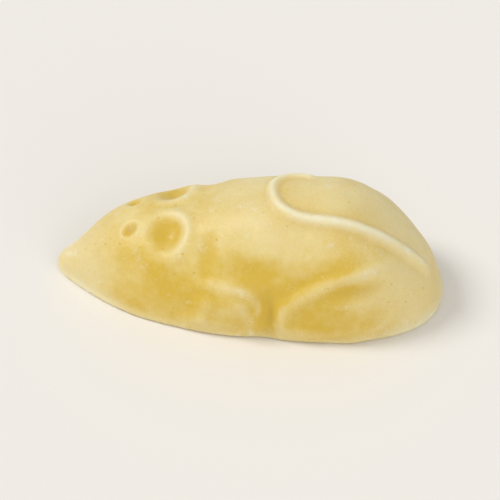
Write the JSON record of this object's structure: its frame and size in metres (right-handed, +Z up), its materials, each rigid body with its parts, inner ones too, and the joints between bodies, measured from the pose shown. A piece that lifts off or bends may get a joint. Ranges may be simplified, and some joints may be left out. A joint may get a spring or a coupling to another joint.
{
  "type": "white chocolate mouse",
  "caption": "Solid moulded white chocolate sweet in the shape of a crouching mouse, flat underneath, with ears, legs and a curled tail in low relief.",
  "frame": {"origin": "on the plane of the base's rim, under the middle of the length and of the width", "axes": "+Z up from the flat base, +X from the nose to the rump, so the nose points to -X and the mouse's left side faces -Y"},
  "size_m": [0.042, 0.0192, 0.0135],
  "materials": {
    "white_chocolate": "waxy cream-coloured white chocolate with a soft sheen, paler where it is rubbed"
  },
  "bodies": {
    "root": {"mouse": "white_chocolate"}
  },
  "joints": []
}
